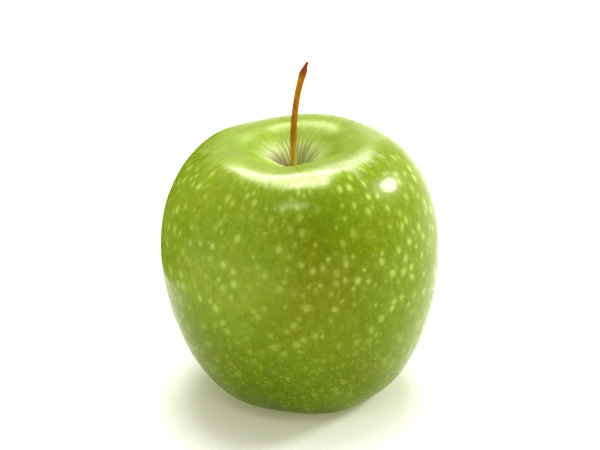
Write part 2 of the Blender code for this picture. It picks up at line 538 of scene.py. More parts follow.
@functools.cache
def growth_streaks() -> bpy.types.NodeTree:
    """Builds the group for streaks that run the way a piece grew.

    Returns:
        A group that turns a place into a streak from 0 to 1.
    """
    inlets = (Pin("Vector", "NodeSocketVector"), *map(Pin, ("Streaks", "Rate along", "Roughness")))
    sketch, given, end = new_group("growth streaks", inlets, (Pin("Streak"),))
    rates = sketch.add("ShaderNodeCombineXYZ", {"X": 1.0, "Y": 1.0, "Z": given["Rate along"]})
    drawn = sketch.vector("MULTIPLY", given["Vector"], rates.outputs["Vector"])
    fibre = sketch.noise(drawn, given["Streaks"], 4.0, given["Roughness"])
    sketch.feed(sketch.remap(fibre, 0.30, 0.70), end.inputs["Streak"])
    return sketch.tree


@functools.cache
def scattered_dots() -> bpy.types.NodeTree:
    """Builds the group for small scattered dots of mixed sizes, such as the pores of a skin.

    Returns:
        A group that turns a place into a dot's mask and its softer halo.
    """
    inlets = (Pin("Vector", "NodeSocketVector"), *map(Pin, ("Cells", "Size", "Softness")))
    sketch, given, end = new_group("scattered dots", inlets, (Pin("Dot"), Pin("Halo")))
    inputs = {"Vector": given["Vector"], "Scale": given["Cells"], "Randomness": 0.9}
    cells = sketch.add("ShaderNodeTexVoronoi", inputs, feature="F1")
    pick = sketch.add("ShaderNodeSeparateColor", {"Color": cells.outputs["Color"]}).outputs["Red"]
    rim = sketch.times(given["Size"], sketch.remap(pick, 0.0, 1.0, 0.55, 1.15))
    core = sketch.times(rim, sketch.maths("SUBTRACT", 1.0, given["Softness"]))
    for name, edge in (("Dot", rim), ("Halo", sketch.times(rim, 1.9))):
        sketch.feed(sketch.remap(cells.outputs["Distance"], core, edge, 1.0, 0.0), end.inputs[name])
    return sketch.tree


@functools.cache
def dried_fibre() -> bpy.types.NodeTree:
    """Builds the group for dry plant fibre, with a dark grain and paler wrinkled crests.

    Returns:
        A group that gives the fibre's colour and its height.
    """
    inlets = (
        Pin("Vector", "NodeSocketVector"),
        *map(Pin, ("Fibres", "Rate along", "Blotches")),
        Pin("Light", "NodeSocketColor"),
        Pin("Dark", "NodeSocketColor"),
    )
    outlets = (Pin("Colour", "NodeSocketColor"), Pin("Height"))
    sketch, given, end = new_group("dried fibre", inlets, outlets)
    fibre = sketch.streaks(given["Vector"], given["Fibres"], given["Rate along"], 0.7)
    blotch = sketch.remap(sketch.noise(given["Vector"], given["Blotches"], 4.0, 0.6), 0.35, 0.65)
    tone = sketch.plus(sketch.times(blotch, 0.4), fibre, 0.6)
    sketch.feed(sketch.blend(tone, given["Dark"], given["Light"]), end.inputs["Colour"])
    sketch.feed(sketch.plus(sketch.times(fibre, 0.65), blotch, 0.35), end.inputs["Height"])
    return sketch.tree


# ---------------------------------------------------------------- finishes


@dataclass(frozen=True)
class SkinPlaces:
    """Where the skin's patterns are fixed, and the streaks that several of them share."""

    growth: Socket
    turned: Socket
    solid: Socket
    outward: Socket
    along: Socket
    streak: Socket
    fine: Socket

    @classmethod
    def found(cls, sketch: Sketch, skin: "AppleSkin") -> "SkinPlaces":
        """Finds the places on a skin.

        Args:
            sketch: The material.
            skin: The skin, which says how its streaks run and where its middle is.

        Returns:
            The place on the growing skin, the place in space, the direction of each from
            its middle, the share from stem to calyx, and the broad and the fine streaks.
        """
        growth = sketch.place(Place.GROWTH)
        solid = sketch.place(Place.OBJECT)
        return cls(
            growth=growth,
            turned=sketch.vector("NORMALIZE", growth),
            solid=solid,
            outward=sketch.vector("NORMALIZE", sketch.vector("SUBTRACT", solid, skin.heart)),
            along=sketch.along(),
            streak=sketch.streaks(growth, *skin.broad_streaks),
            fine=sketch.streaks(growth, *skin.fine_streaks),
        )


@dataclass(frozen=True)
class AppleSkin:
    """Waxy green skin: yellower shoulders, pale pores, a streaked cavity and a downy basin, with a painted
    highlight round the cavity's mouth, painted light on the upper left and a painted dark reflection on the
    front.

    A side is the direction in which an effect is strongest. A Span holds what remap, streaks
    or dots take after their first value, and most run along the skin, from stem to calyx.
    """

    russet: Colour = (0.240, 0.225, 0.105)
    cavity_pale: Colour = (0.700, 0.780, 0.400)
    cavity_green: Colour = (0.320, 0.420, 0.070)
    shoulder: Colour = (0.240, 0.320, 0.026)
    upper_face: Colour = (0.225, 0.303, 0.008)
    face: Colour = (0.212, 0.288, 0.003)
    lower_face: Colour = (0.160, 0.226, 0.002)
    base: Colour = (0.162, 0.232, 0.003)
    basin: Colour = (0.260, 0.300, 0.100)
    # Olive of random mottling, and the painted dark reflection on the front.
    olive_and_reflection: Colour = (0.238, 0.270, 0.001)
    cool: Colour = (0.175, 0.295, 0.007)
    # Painted light on the upper left of the fruit.
    painted_light: Colour = (0.325, 0.415, 0.040)
    pore: Colour = (0.540, 0.650, 0.170)
    # Whitish, for the painted highlight round the cavity's mouth and for the pale left wall of the cavity.
    whitish: Colour = (0.700, 0.740, 0.480)
    heart: Direction = (0.0, 0.0, 0.042)
    # Side of the cavity's wall that is drawn whitish.
    pale_wall_side: Direction = (-0.95, -0.30, 0.0)
    # The front, where the dark reflection is painted and pores thin out.
    front_side: Direction = (0.06, -0.99, 0.10)
    # Side of the painted highlight round the cavity's mouth.
    highlight_side: Direction = (0.60, -0.62, 0.0)
    # Side of the painted light, where pores also gather.
    painted_light_side: Direction = (-0.68, -0.66, 0.32)
    pore_side: Direction = (0.92, -0.38, 0.10)
    broad_streaks: Span = (300.0, 0.30, 0.65)
    fine_streaks: Span = (1100.0, 0.35, 0.60)
    highlight_streaks: Span = (260.0, 0.12, 0.70)
    cavity_rays: Span = (620.0, 0.07, 0.70)
    cavity_folds: Span = (500.0, 0.10, 0.60)
    large_pores: Span = (340.0, 0.44, 0.70)
    small_pores: Span = (700.0, 0.34, 0.75)
    painted_reflection_fade: Span = (0.80, 1.08)
    painted_light_fade: Span = (0.72, 1.02)
    highlight_outside: Span = (0.238, 0.262, 1.0, 0.0)
    highlight_inside: Span = (0.17, 0.20)
    highlight_fade: Span = (0.55, 0.85, 0.14, 0.80)
    pores_start: Span = (0.17, 0.27)
    large_pores_thin: Span = (0.46, 0.64, 1.0, 0.40)
    small_pores_thicken: Span = (0.50, 0.75, 0.4, 1.0)
    cavity_fade: Span = (0.060, 0.130, 1.0, 0.0)
    russet_fade: Span = (0.088, 0.128, 1.0, 0.0)
    folds_fade: Span = (0.08, 0.16, 1.0, 0.0)
    dull_cavity: Span = (0.09, 0.19, 0.34, 0.0)
    dull_basin: Span = (0.90, 0.97, 0.0, 0.30)
    painted_reflection_share: float = 0.90
    warm_share: float = 0.25
    painted_light_share: float = 0.85
    cool_share: float = 0.30
    streak_share: float = 0.14
    pore_share: float = 0.80
    halo_share: float = 0.20
    pale_wall_share: float = 0.60
    roughness: float = 0.26
    fine_roughness: float = 0.012
    ior: float = 1.27
    gloss: float = 0.20
    gloss_roughness: float = 0.08
    gloss_ior: float = 1.36
    wax_depth: float = 0.00001
    streak_depth: float = 0.000006
    pore_depth: float = 0.000004
    fold_depth: float = 0.00007

    def material(self) -> bpy.types.Material:
        """Draws the skin.

        Returns:
            The finished material.
        """
        material, sketch = new_material("apple skin")
        at = SkinPlaces.found(sketch, self)
        pores, halo = self.pores(sketch, at)
        haloed = sketch.blend(sketch.times(halo, self.halo_share), self.ground(sketch, at), self.pore)
        dotted = sketch.blend(pores, haloed, self.pore)
        in_cavity = sketch.remap(at.along, *self.dull_cavity)
        dull = sketch.maths("ADD", in_cavity, sketch.remap(at.along, *self.dull_basin))
        shine = sketch.remap(sketch.noise(at.solid, 120.0, 2.0), 0.3, 0.7, -0.02, 0.03)
        rough = sketch.maths("ADD", shine, sketch.plus(self.roughness, at.fine, self.fine_roughness))
        sketch.surface(
            {
                "Base Color": self.cavity(sketch, at, dotted),
                "Roughness": sketch.maths("ADD", rough, dull),
                "IOR": self.ior,
                "Coat Weight": sketch.maths("MAXIMUM", sketch.maths("SUBTRACT", self.gloss, dull), 0.0),
                "Coat Roughness": self.gloss_roughness,
                "Coat IOR": self.gloss_ior,
                "Normal": self.grain(sketch, at, pores),
            }
        )
        return material

    def ground(self, sketch: Sketch, at: SkinPlaces) -> Socket:
        """Draws the skin's green from the stem down to the calyx, with painted light on the upper left and
        a painted dark reflection on the front.

        Args:
            sketch: The material.
            at: The places on the skin.

        Returns:
            The colour under the pores.
        """
        drift = sketch.plus(sketch.maths("ADD", at.along, -0.025), at.streak, 0.05)
        stops = (
            (0.08, self.cavity_green),
            (0.14, self.shoulder),
            (0.23, self.shoulder),
            (0.32, self.upper_face),
            (0.48, self.face),
            (0.68, self.lower_face),
            (0.84, self.base),
            (0.95, self.basin),
        )
        mottle = sketch.remap(sketch.noise(at.solid, 42.0, 3.0, 0.55), 0.36, 0.64)
        # Painted dark reflection: the front is drawn more olive, as the dim room in front is mirrored
        # there; random olive mottling is mixed in.
        ragged = sketch.plus(sketch.facing(at.outward, self.front_side), mottle, 0.14)
        painted_reflection = sketch.times(sketch.remap(ragged, *self.painted_reflection_fade), self.painted_reflection_share)
        olive_and_reflection_mask = sketch.maths("MAXIMUM", painted_reflection, sketch.times(mottle, self.warm_share))
        colour = sketch.blend(olive_and_reflection_mask, sketch.ramp(drift, stops), self.olive_and_reflection)
        # Painted light: the upper left is drawn a lighter green, where the light falls.
        toward_light = sketch.plus(sketch.facing(at.outward, self.painted_light_side), mottle, 0.10)
        painted_light_mask = sketch.times(sketch.remap(toward_light, *self.painted_light_fade), self.painted_light_share)
        colour = sketch.blend(painted_light_mask, colour, self.painted_light)
        patch = sketch.remap(sketch.noise(at.solid, 95.0, 2.0, 0.5), 0.40, 0.66)
        colour = sketch.blend(sketch.times(patch, self.cool_share), colour, self.cool)
        # Painted highlight: whitish over a ragged ring round the cavity's mouth.
        colour = sketch.blend(self.painted_highlight(sketch, at), colour, self.whitish)
        colour = sketch.blend(sketch.times(at.streak, self.streak_share), colour, self.shoulder)
        speckle = sketch.plus(sketch.noise(at.solid, 700.0, 3.0, 0.6), at.fine, 0.3)
        shade = sketch.remap(speckle, 0.45, 0.85, 0.93, 1.07)
        return sketch.vector("SCALE", colour, scale=shade)

    def painted_highlight(self, sketch: Sketch, at: SkinPlaces) -> Socket:
        """Gives the mask of a painted highlight, a ragged pale ring round the cavity's mouth, strongest on
        the front right.

        Args:
            sketch: The material.
            at: The places on the skin.

        Returns:
            The mask.
        """
        rayed = sketch.plus(at.along, sketch.streaks(at.growth, *self.highlight_streaks), 0.05)
        outside = sketch.remap(rayed, *self.highlight_outside)
        toward_highlight = sketch.remap(sketch.facing(at.turned, self.highlight_side), *self.highlight_fade)
        return sketch.times(outside, sketch.remap(at.along, *self.highlight_inside), toward_highlight)

    def pores(self, sketch: Sketch, at: SkinPlaces) -> tuple[Socket, Socket]:
        """Draws the pale pores, larger and closer on two sides of the fruit.

        Args:
            sketch: The material.
            at: The places on the skin.

        Returns:
            The mask of the pores and that of the paler skin round them.
        """
        inputs = {"Vector": at.growth, "Scale": 120.0, "Detail": 2.0}
        wander = sketch.add("ShaderNodeTexNoise", inputs).outputs["Color"]
        moved = sketch.vector("ADD", at.growth, sketch.vector("SCALE", wander, scale=0.002))
        large = sketch.dots(sketch.vector("MULTIPLY", moved, (1.0, 1.0, 0.88)), *self.large_pores)
        small = sketch.dots(sketch.vector("MULTIPLY", moved, (1.0, 1.0, 0.85)), *self.small_pores)
        right = sketch.remap(sketch.facing(at.turned, self.pore_side), -0.2, 0.8, 0.70, 1.0)
        left = sketch.remap(sketch.facing(at.turned, self.painted_light_side), 0.55, 0.85, 0.0, 1.15)
        side = sketch.maths("MAXIMUM", right, left)
        uneven = sketch.remap(sketch.noise(at.solid, 60.0, 2.0), 0.35, 0.65, 0.55, 1.0)
        bare = sketch.remap(sketch.facing(at.turned, self.front_side), 0.80, 0.98, 1.0, 0.5)
        strong = sketch.times(side, uneven, bare, sketch.remap(at.along, *self.large_pores_thin))
        away = sketch.remap(at.along, *self.pores_start)
        low = sketch.times(sketch.remap(at.along, *self.small_pores_thicken), 0.7)
        big = sketch.times(large.outputs["Dot"], strong)
        mask = sketch.maths("MAXIMUM", big, sketch.times(small.outputs["Dot"], low))
        halo = sketch.times(large.outputs["Halo"], strong, away)
        return sketch.times(mask, away, self.pore_share), halo

    def cavity(self, sketch: Sketch, at: SkinPlaces, skin: Source) -> Socket:
        """Draws pale rays down the stem's cavity and russet on its floor.

        Args:
            sketch: The material.
            at: The places on the skin.
            skin: The colour outside the cavity.

        Returns:
            The colour with the cavity drawn in.
        """
        ray = sketch.streaks(at.growth, *self.cavity_rays)
        near = sketch.remap(at.along, *self.cavity_fade)
        rays = sketch.times(near, sketch.remap(ray, 0.20, 0.75, 0.15, 1.0))
        streaked = sketch.blend(rays, skin, self.cavity_pale)
        # The left wall of the cavity is drawn whitish.
        side = sketch.remap(sketch.facing(at.turned, self.pale_wall_side), 0.1, 0.8)
        pale_walled = sketch.blend(sketch.times(side, near, self.pale_wall_share), streaked, self.whitish)
        floor = sketch.remap(sketch.plus(at.along, ray, 0.04), *self.russet_fade)
        shaded = sketch.times(floor, sketch.remap(side, 0.0, 0.6, 0.30, 0.95))
        return sketch.blend(shaded, pale_walled, self.russet)

    def grain(self, sketch: Sketch, at: SkinPlaces, pores: Source) -> Socket:
        """Tilts the skin over fine grain, pores and streaks.

        Args:
            sketch: The material.
            at: The places on the skin.
            pores: The mask of the pores.

        Returns:
            The skin's normal.
        """
        wax = sketch.relief(sketch.noise(at.solid, 500.0, 2.0, 0.5), self.wax_depth)
        drawn = sketch.relief(at.streak, self.streak_depth, wax)
        raised = sketch.relief(pores, self.pore_depth, drawn)
        ray = sketch.streaks(at.growth, *self.cavity_folds)
        folded = sketch.times(ray, sketch.remap(at.along, *self.folds_fade))
        return sketch.relief(folded, self.fold_depth, raised)


@dataclass(frozen=True)
class StemBark:
    """Orange-brown stalk bark, fibrous along its length, dark at the end that broke off, pale gold at its
    base, partly its own colour and partly painted light where the cavity shades it.
    """

    light: Colour = (0.640, 0.330, 0.026)
    dark: Colour = (0.420, 0.160, 0.010)
    fleck: Colour = (0.820, 0.560, 0.200)
    end: Colour = (0.330, 0.090, 0.035)
    # Pale golden base: partly the stalk's own colour, partly painted light where the cavity shades it.
    root: Colour = (0.860, 0.660, 0.150)
    fibre: Span = (2600.0, 0.10, 380.0)
    flecks: Span = (900.0, 0.24, 0.6)
    fleck_share: float = 0.20
    golden_and_lit_root_fade: Span = (0.05, 0.45, 0.95, 0.0)
    end_fade: Span = (0.83, 0.93, 0.0, 0.85)
    roughness: float = 0.48
    ior: float = 1.22
    depth: float = 0.00006

    def material(self) -> bpy.types.Material:
        """Draws the bark.

        Returns:
            The finished material.
        """
        material, sketch = new_material("stem bark")
        growth = sketch.place(Place.GROWTH)
        along = sketch.along()
        colour, height = sketch.fibres(growth, self.fibre, self.light, self.dark)
        dots = sketch.dots(sketch.vector("MULTIPLY", growth, (1.0, 1.0, 0.5)), *self.flecks).outputs["Dot"]
        flecked = sketch.blend(sketch.times(dots, self.fleck_share), colour, self.fleck)
        # Pale golden base, partly painted light in the cavity's shade.
        golden_and_lit_root = sketch.blend(sketch.remap(along, *self.golden_and_lit_root_fade), flecked, self.root)
        sketch.surface(
            {
                "Base Color": sketch.blend(sketch.remap(along, *self.end_fade), golden_and_lit_root, self.end),
                "Roughness": sketch.remap(height, 0.0, 1.0, self.roughness, self.roughness + 0.2),
                "IOR": self.ior,
                "Normal": sketch.relief(sketch.plus(height, dots, 0.4), self.depth),
            }
        )
        return material


@dataclass(frozen=True)
class DriedLeaf:
    """Dry, downy, grey-brown leaf or filament."""

    name: str
    light: Colour
    dark: Colour
    fibres: float
    rate_along: float = 0.25
    blotches: float = 900.0
    down: Colour = (0.420, 0.400, 0.280)
    down_share: float = 0.35
    down_scale: float = 5200.0
    roughness: float = 0.85
    ior: float = 1.40
    depth: float = 0.00008

    def material(self) -> bpy.types.Material:
        """Draws the dried tissue.

        Returns:
            The finished material.
        """
        material, sketch = new_material(self.name)
        growth = sketch.place(Place.GROWTH)
        fibre = (self.fibres, self.rate_along, self.blotches)
        colour, height = sketch.fibres(growth, fibre, self.light, self.dark)
        fuzz = sketch.noise(sketch.place(Place.OBJECT), self.down_scale, 3.0, 0.7)
        fuzz = sketch.remap(fuzz, 0.50, 0.68)
        sketch.surface(
            {
                "Base Color": sketch.blend(sketch.times(fuzz, self.down_share), colour, self.down),
                "Roughness": sketch.remap(fuzz, 0.0, 1.0, self.roughness - 0.1, self.roughness + 0.1),
                "IOR": self.ior,
                "Normal": sketch.relief(sketch.plus(height, fuzz, 0.4), self.depth),
            }
        )
        return material


# ---------------------------------------------------------------- the fruit


@dataclass(frozen=True)
class FruitOutline:
    """Half of the fruit's section, before it grows lobes and leans."""

    radius: float = 0.0375
    shoulder_height: float = 0.0707
    widest_height: float = 0.0401
    shoulder_radius: float = 0.0188
    base_radius: float = 0.0180
    upper_fullness: float = 0.555
    lower_fullness: float = 0.488
    bowl_handle: float = 0.0050
    lip_radius: float = 0.0074
    lip_drop: float = 0.0034
    lip_slope: float = math.radians(27)
    lip_bowl_handle: float = 0.0034
    lip_throat_handle: float = 0.0021
    cavity_depth: float = 0.0120
    cavity_floor_radius: float = 0.0018
    throat_handle: float = 0.0045
    throat_flare: float = 0.0006
    basin_depth: float = 0.0070
    basin_lip_handle: float = 0.0060
    basin_floor_handle: float = 0.0060
    basin_floor_radius: float = 0.0044
    floor_dish: float = 0.0005
    floor_rings: int = 3
    throat_rings: int = 20
    bowl_rings: int = 14
    shoulder_rings: int = 22
    flank_rings: int = 32
    basin_rings: int = 20

    @staticmethod
    def spot(radius: float, height: float) -> Vector:
        """A point of the section."""
        return Vector((radius, 0.0, height))

    def floor(self, radius: float, height: float, dish: float) -> list[Vector]:
        """Points from the axis out to a floor's edge, dished by a small step."""
        shares = [step / self.floor_rings for step in range(self.floor_rings)]
        return [self.spot(radius * share, height + dish * (1.0 - share**2)) for share in shares]

    def lip(self, handle: float) -> Vector:
        """The cavity's lip, or a point that far from it along the lip's slope, outward."""
        lip = self.spot(self.lip_radius, self.shoulder_height - self.lip_drop)
        return lip + self.spot(math.cos(self.lip_slope), math.sin(self.lip_slope)) * handle

    def curves(self) -> list[tuple[Vector, Vector, Vector, int]]:
        """The section's curves, each as its two handles, its end and its count of rings.

        Returns:
            The cavity's steep throat, its gentle bowl out to the shoulder's crest, the
            shoulder out to the widest place, the flank down to the base, and the basin.
        """
        top = self.shoulder_height
        floor = top - self.cavity_depth
        side = self.widest_height
        over = self.radius - self.shoulder_radius
        under = self.radius - self.base_radius
        return [
            (
                self.spot(self.cavity_floor_radius + self.throat_flare, floor + self.throat_handle),
                self.lip(-self.lip_throat_handle),
                self.lip(0.0),
                self.throat_rings,
            ),
            (
                self.lip(self.lip_bowl_handle),
                self.spot(self.shoulder_radius - self.bowl_handle, top),
                self.spot(self.shoulder_radius, top),
                self.bowl_rings,
            ),
            (
                self.spot(self.shoulder_radius + self.upper_fullness * over, top),
                self.spot(self.radius, side + self.upper_fullness * (top - side)),
                self.spot(self.radius, side),
                self.shoulder_rings,
            ),
            (
                self.spot(self.radius, side * (1.0 - self.lower_fullness)),
                self.spot(self.base_radius + self.lower_fullness * under, 0.0),
                self.spot(self.base_radius, 0.0),
                self.flank_rings,
            ),
            (
                self.spot(self.base_radius - self.basin_lip_handle, 0.0),
                self.spot(self.basin_floor_radius + self.basin_floor_handle, self.basin_depth),
                self.spot(self.basin_floor_radius, self.basin_depth),
                self.basin_rings,
            ),
        ]

    def points(self) -> list[Vector]:
        """The whole section, from the cavity's floor over the shoulder to the basin's floor.

        Returns:
            Its points in order, which start and end on the axis.
        """
        cavity_floor = self.shoulder_height - self.cavity_depth
        points = self.floor(self.cavity_floor_radius, cavity_floor, -self.floor_dish)
        start = self.spot(self.cavity_floor_radius, cavity_floor)
        for leave, arrive, end, rings in self.curves():
            points += [bezier((start, leave, arrive, end), step / rings) for step in range(rings)]
            start = end
        points.append(start)
        points += reversed(self.floor(self.basin_floor_radius, self.basin_depth, self.floor_dish))
        return points


@dataclass(frozen=True)
class Lobes:
    """The five faint lobes, the oval plan and the lean of the fruit."""

    count: int = 5
    angle: float = math.radians(-72)
    shoulder_groove: float = 0.0005
    lip_groove: float = 0.0004
    lip_groove_radius: float = 0.0100
    lip_groove_reach: float = 0.0045
    base_groove: float = 0.0005
    rib_share: float = 0.006
    oval_share: float = 0.006
    oval_angle: float = math.radians(35)
    settled_flat: float = 0.0003
    lean: float = math.radians(-2.45)
    on_axis: float = 1e-7

    def lobed(self, point: Vector, outline: FruitOutline) -> Vector:
        """Moves a point of the turned fruit onto the five-lobed, slightly oval one.

        Args:
            point: A point of the fruit.
            outline: The section that was turned.

        Returns:
            The moved point.
        """
        radius = math.hypot(point.x, point.y)
        if radius < self.on_axis:
            return point.copy()
        angle = math.atan2(point.y, point.x)
        groove = 0.5 - 0.5 * math.cos(self.count * (angle - self.angle))
        near_top = smooth_step(2.0 * point.z / outline.shoulder_height - 1.0)
        near_base = smooth_step(1.0 - point.z / outline.widest_height)
        top_share = near_top * min(1.0, radius / outline.shoulder_radius)
        base_share = near_base * min(1.0, (radius / outline.base_radius) ** 2)
        lip_share = near_top * bell(radius, self.lip_groove_radius, self.lip_groove_reach)
        drop = self.base_groove * base_share
        drop -= self.shoulder_groove * top_share + self.lip_groove * lip_share
        height = point.z + groove * drop
        oval = self.oval_share * math.cos(2.0 * (angle - self.oval_angle))
        scale = 1.0 + (oval - self.rib_share * groove) * min(1.0, radius / outline.base_radius)
        return Vector((point.x * scale, point.y * scale, height))

    def leaned(self, point: Vector, outline: FruitOutline) -> Vector:
        """Leans a point with the fruit, whose base stays level.

        Args:
            point: A point of the fruit.
            outline: The section that was turned.

        Returns:
            The leaned point.
        """
        tilt = smooth_step(point.z / outline.widest_height)
        above = point.z - outline.shoulder_height / 2
        across = point.x * math.cos(self.lean) + above * math.sin(self.lean)
        return Vector((across, point.y, point.z - point.x * math.sin(self.lean) * tilt))

    def settled(self, point: Vector, outline: FruitOutline) -> Vector:
        """Presses the lowest crests of the base a little way into one flat plane.

        Args:
            point: A point of the fruit.
            outline: The section that was turned.

        Returns:
            The point, no lower than the plane.
        """
        sink = self.settled_flat * smooth_step(1.0 - point.z / outline.widest_height)
        return Vector((point.x, point.y, max(0.0, point.z - sink)))

    def shaped(self, point: Vector, outline: FruitOutline) -> Vector:
        """Moves a point of the turned fruit to its place on the grown one."""
        return self.settled(self.leaned(self.lobed(point, outline), outline), outline)


@dataclass(frozen=True)
class SkinRelief:
    """Small shapes on the skin: folds down the cavity, puckers round the calyx, soft dents."""

    fold_height: float = 0.00008
    fold_middle: float = 0.085
    fold_reach: float = 0.040
    fold_waves: Waves = ((9, 0.5, 0.4), (16, 0.6, 2.1), (23, 0.4, 4.4))
    pucker_height: float = 0.00035
    pucker_middle: float = 0.935
    pucker_reach: float = 0.035
    pucker_waves: Waves = ((5, 0.5, 1.0), (10, 0.5, 0.2), (17, 0.35, 3.3))
    swell_height: float = 0.00022
    swell_scale: float = 45.0
    dent_height: float = 0.00005
    dent_scale: float = 160.0
    rest_height: float = 0.0040

    def height(self, growth: Vector, along: float, place: Vector) -> float:
        """Says how far the skin stands proud of the plain lobed fruit.

        Args:
            growth: The point's place on the growing skin.
            along: Its share from stem to calyx.
            place: Its place in space.

        Returns:
            The height along the normal.
        """
        angle = math.atan2(growth.y, growth.x)
        folds = self.fold_height * bell(along, self.fold_middle, self.fold_reach)
        puckers = self.pucker_height * bell(along, self.pucker_middle, self.pucker_reach)
        swell = self.swell_height * noise.noise(place * self.swell_scale)
        dent = self.dent_height * noise.noise(place * self.dent_scale)
        off_floor = smooth_step(place.z / self.rest_height)
        return (
            folds * ripple(angle, self.fold_waves)
            + puckers * ripple(angle, self.pucker_waves)
            + (swell + dent) * off_floor
        )


@dataclass(frozen=True)
class Fruit:
    """The grown fruit, one closed skin from the stem's cavity to the calyx's basin."""

    outline: FruitOutline = field(default_factory=FruitOutline)
    lobes: Lobes = field(default_factory=Lobes)
    relief: SkinRelief = field(default_factory=SkinRelief)
    finish: AppleSkin = field(default_factory=AppleSkin)
    sides: int = 160
    merge_distance: float = 1e-6

    def turned(self) -> BMesh:
        """Spins the section into a closed skin whose points know where they grew.

        Returns:
            The closed skin, before its lobes.
        """
        bm = bmesh.new()
        along = bm.verts.layers.float.new(ALONG)
        growth = bm.verts.layers.float_vector.new(GROWTH)
        section = self.outline.points()
        steps = [0.0, *((after - before).length for before, after in zip(section, section[1:]))]
        total = sum(steps)
        points = []
        walked = 0.0
        for spot, step in zip(section, steps):
            walked += step
            points.append(bm.verts.new(spot))
            points[-1][along] = walked / total
        edges = [bm.edges.new(pair) for pair in zip(points, points[1:])]
        bmesh.ops.spin(
            bm,
            geom=points + edges,
            cent=(0, 0, 0),
            axis=(0, 0, 1),
            angle=math.tau,
            steps=self.sides,
            use_merge=True,
        )
        bmesh.ops.remove_doubles(bm, verts=bm.verts, dist=self.merge_distance)
        for vert in bm.verts:
            round_axis = Vector((vert.co.x, vert.co.y, 0.0)).normalized() * self.outline.radius
            vert[growth] = (round_axis.x, round_axis.y, vert[along] * total)
        return bm

    def build(self) -> bpy.types.Object:
        """Builds, dresses and places the fruit.

        Returns:
            The fruit.
        """
        bm = self.turned()
        for vert in bm.verts:
            vert.co = self.lobes.shaped(vert.co, self.outline)
        stand_out(bm, self.relief.height)
        for vert in bm.verts:
            vert.co.z = max(0.0, vert.co.z)
        fit_into(bm, "fruit")
        piece = finish_piece("apple_fruit", bm, self.finish.material())
        mount_piece(piece, "fruit")
        return piece


# ---------------------------------------------------------------- the stem


@dataclass(frozen=True)
class Stem:
    """The stalk: a root flare, a ridged shank, a swollen scar and the stub above it."""

    root: Vector = field(default_factory=lambda: Vector((-0.0011, -0.0001, 0.0593)))
    lower: Vector = field(default_factory=lambda: Vector((-0.0027, 0.0004, 0.0700)))
    upper: Vector = field(default_factory=lambda: Vector((-0.0015, 0.0010, 0.0830)))
    neck: Vector = field(default_factory=lambda: Vector((0.0008, 0.0006, 0.0900)))
    tip: Vector = field(default_factory=lambda: Vector((0.0020, 0.0003, 0.0932)))
    neck_share: float = 0.90
    radius: float = 0.00080
    knob_radius: float = 0.00094
    stub_radius: float = 0.00060
    stations: int = 64
    sides: int = 24
    ridge_height: float = 0.00005
    ridge_waves: Waves = ((3, 0.7, 0.5), (5, 0.5, 2.0), (8, 0.3, 1.1))
    ridge_twist: float = 1.5
    gnarl_height: float = 0.00012
    gnarl_scale: float = 900.0
    root_flare: float = 0.35
    root_reach: float = 0.05
    thickening: float = 0.10
    stub_start: float = 0.895
    stub_reach: float = 0.075
    tip_start: float = 0.94
    tip_reach: float = 0.06
    tip_taper: float = 0.45
    scar_share: float = 0.890
    scar_reach: float = 0.060
    step_ahead: float = 0.01
    finish: StemBark = field(default_factory=StemBark)

    def line(self, share: float) -> Vector:
        """The middle line, a curve up to the neck and then a short straight stub.

        Args:
            share: From 0 at the root to 1 at the tip.

        Returns:
            The point at that share.
        """
        if share <= self.neck_share:
            return bezier((self.root, self.lower, self.upper, self.neck), share / self.neck_share)
        return self.neck.lerp(self.tip, (share - self.neck_share) / (1.0 - self.neck_share))

    def radius_at(self, share: float) -> float:
        """Thicker at the root, swollen where the stalk broke from its spur, then a thin stub.

        Args:
            share: From 0 at the root to 1 at the tip.

        Returns:
            The radius at that share.
        """
        root = self.root_flare * self.radius * math.exp(-share / self.root_reach)
        growth = self.thickening * self.radius * share
        knob = (self.knob_radius - self.radius) * bell(share, self.scar_share, self.scar_reach)
        shank = self.radius + root + growth + knob
        stub = smooth_step((share - self.stub_start) / self.stub_reach)
        end = 1.0 - self.tip_taper * smooth_step((share - self.tip_start) / self.tip_reach)
        return (shank * (1.0 - stub) + self.stub_radius * stub) * end

    def relief(self, growth: Vector, along: float, place: Vector) -> float:
        """Ridges along the shank and small knots, strongest round the scar.

        Args:
            growth: The point's place on the growing stem.
            along: Its share from root to tip.
            place: Its place in space.

        Returns:
            The height along the normal.
        """
        angle = math.atan2(growth.y, growth.x)
        ridges = self.ridge_height * ripple(angle + self.ridge_twist * along, self.ridge_waves)
        knots = 0.35 + bell(along, 0.90, 0.07) + 0.6 * bell(along, 0.0, 0.08)
        return ridges + self.gnarl_height * knots * noise.noise(place * self.gnarl_scale)

    def build(self) -> bpy.types.Object:
        """Builds, dresses and places the stem.

        Returns:
            The stem.
        """
        bm = bmesh.new()
        places = []
        for station in range(self.stations + 1):
            share = station / self.stations
            ahead = self.line(min(1.0, share + self.step_ahead))
            behind = self.line(max(0.0, share - self.step_ahead))
            radius = self.radius_at(share)
            wide = Vector((0.0, 1.0, 0.0))
            places.append(ring_place(self.line(share), ahead - behind, wide, radius, radius))
        loft(bm, places, self.sides, self.radius, (self.tip - self.root).length)
        stand_out(bm, self.relief)
        fit_into(bm, "stem")
        piece = finish_piece("apple_stem", bm, self.finish.material())
        mount_piece(piece, "stem")
        return piece


# ---------------------------------------------------------------- the calyx


